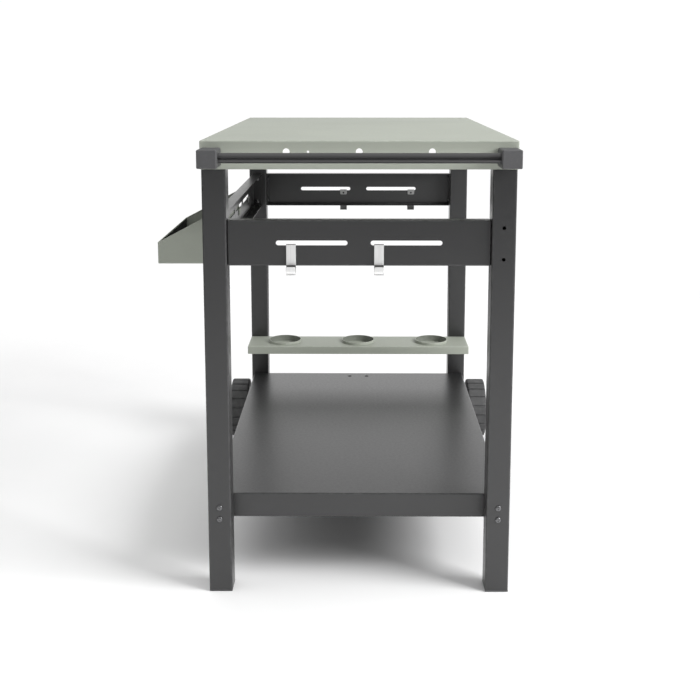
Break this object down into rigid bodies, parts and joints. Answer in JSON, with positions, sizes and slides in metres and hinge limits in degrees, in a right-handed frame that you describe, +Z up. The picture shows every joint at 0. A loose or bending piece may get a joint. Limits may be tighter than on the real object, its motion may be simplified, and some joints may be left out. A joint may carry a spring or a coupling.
{
  "type": "potting bench",
  "caption": "Steel potting bench on legs and wheels, with a folded worktop, a lower shelf, slotted panels with hooks, a cup shelf, a handle bar and a hanging tray.",
  "frame": {"origin": "on the floor, under the middle of the whole bench's box, tray and handle included", "axes": "+Z up; +X along the bench from the handle end to the wheel end; +Y from the open front side to the back side with the tray"},
  "size_m": [1.074, 0.779, 0.9],
  "materials": {
    "sage_green": "satin grey-green powder coat",
    "graphite_coat": "fine matt graphite powder coat",
    "black_plastic": "fine-grained dark grey moulded plastic",
    "hook_steel": "bright brushed steel strap",
    "bolt_steel": "blackened steel",
    "tyre_rubber": "dark ribbed tread",
    "rim_plastic": "dark grey moulded plastic"
  },
  "bodies": {
    "frame": {"worktop": "sage_green", "worktop_stiffener": "graphite_coat", "leg_handle_front": "graphite_coat", "leg_handle_back": "graphite_coat", "leg_wheel_front": "graphite_coat", "leg_wheel_back": "graphite_coat", "foot_front": "black_plastic", "leg_cap_front": "black_plastic", "handle_bracket_front": "black_plastic", "bracket_bolt_front": "bolt_steel", "worktop_bolt_front": "bolt_steel", "cup_shelf_bolt_front": "bolt_steel", "axle_front": "bolt_steel", "axle_nut_front": "bolt_steel", "foot_back": "black_plastic", "leg_cap_back": "black_plastic", "handle_bracket_back": "black_plastic", "bracket_bolt_back": "bolt_steel", "worktop_bolt_back": "bolt_steel", "cup_shelf_bolt_back": "bolt_steel", "axle_back": "bolt_steel", "axle_nut_back": "bolt_steel", "end_panel_handle": "graphite_coat", "end_panel_wheel": "graphite_coat", "back_apron": "graphite_coat", "lower_shelf": "graphite_coat", "cup_shelf": "sage_green", "handle_bar": "graphite_coat", "shelf_bolt_handle_front_upper": "bolt_steel", "panel_bolt_handle_front_upper": "bolt_steel", "shelf_bolt_handle_front_lower": "bolt_steel", "panel_bolt_handle_front_lower": "bolt_steel", "shelf_bolt_handle_back_upper": "bolt_steel", "panel_bolt_handle_back_upper": "bolt_steel", "shelf_bolt_handle_back_lower": "bolt_steel", "panel_bolt_handle_back_lower": "bolt_steel", "apron_bolt_handle_upper": "bolt_steel", "apron_bolt_handle_lower": "bolt_steel", "shelf_bolt_wheel_front_upper": "bolt_steel", "panel_bolt_wheel_front_upper": "bolt_steel", "shelf_bolt_wheel_front_lower": "bolt_steel", "panel_bolt_wheel_front_lower": "bolt_steel", "shelf_bolt_wheel_back_upper": "bolt_steel", "panel_bolt_wheel_back_upper": "bolt_steel", "shelf_bolt_wheel_back_lower": "bolt_steel", "panel_bolt_wheel_back_lower": "bolt_steel", "apron_bolt_wheel_upper": "bolt_steel", "apron_bolt_wheel_lower": "bolt_steel"},
    "wheel_front": {"tyre_front": "tyre_rubber", "rim_front": "rim_plastic", "hub_cap_front": "rim_plastic"},
    "wheel_back": {"tyre_back": "tyre_rubber", "rim_back": "rim_plastic", "hub_cap_back": "rim_plastic"},
    "hook_handle_back_body": {"hook_handle_back": "hook_steel"},
    "hook_handle_front_body": {"hook_handle_front": "hook_steel"},
    "hook_wheel_back_body": {"hook_wheel_back": "hook_steel"},
    "hook_wheel_front_body": {"hook_wheel_front": "hook_steel"},
    "hook_apron_body": {"hook_apron": "hook_steel"},
    "tray_body": {"tray": "sage_green"}
  },
  "joints": [
    {"name": "wheel_front_spin", "type": "hinge", "parent": "frame", "child": "wheel_front", "pos_m": [0.457, -0.3645, 0.08], "axis": [0, 1, 0], "continuous": true},
    {"name": "wheel_back_spin", "type": "hinge", "parent": "frame", "child": "wheel_back", "pos_m": [0.457, 0.2995, 0.08], "axis": [0, 1, 0], "continuous": true},
    {"name": "hook_handle_back_slide", "type": "slide", "parent": "frame", "child": "hook_handle_back_body", "axis": [0, 1, 0], "range_m": [-0.095, 0.016]},
    {"name": "hook_handle_front_slide", "type": "slide", "parent": "frame", "child": "hook_handle_front_body", "axis": [0, 1, 0], "range_m": [-0.108, 0.003]},
    {"name": "hook_wheel_back_slide", "type": "slide", "parent": "frame", "child": "hook_wheel_back_body", "axis": [0, 1, 0], "range_m": [-0.006, 0.105]},
    {"name": "hook_wheel_front_slide", "type": "slide", "parent": "frame", "child": "hook_wheel_front_body", "axis": [0, 1, 0], "range_m": [0, 0.111]},
    {"name": "hook_apron_slide", "type": "slide", "parent": "frame", "child": "hook_apron_body", "axis": [1, 0, 0], "range_m": [-0.11, 0]},
    {"name": "tray_slide", "type": "slide", "parent": "frame", "child": "tray_body", "axis": [1, 0, 0], "range_m": [-0.05, 0.05]}
  ]
}
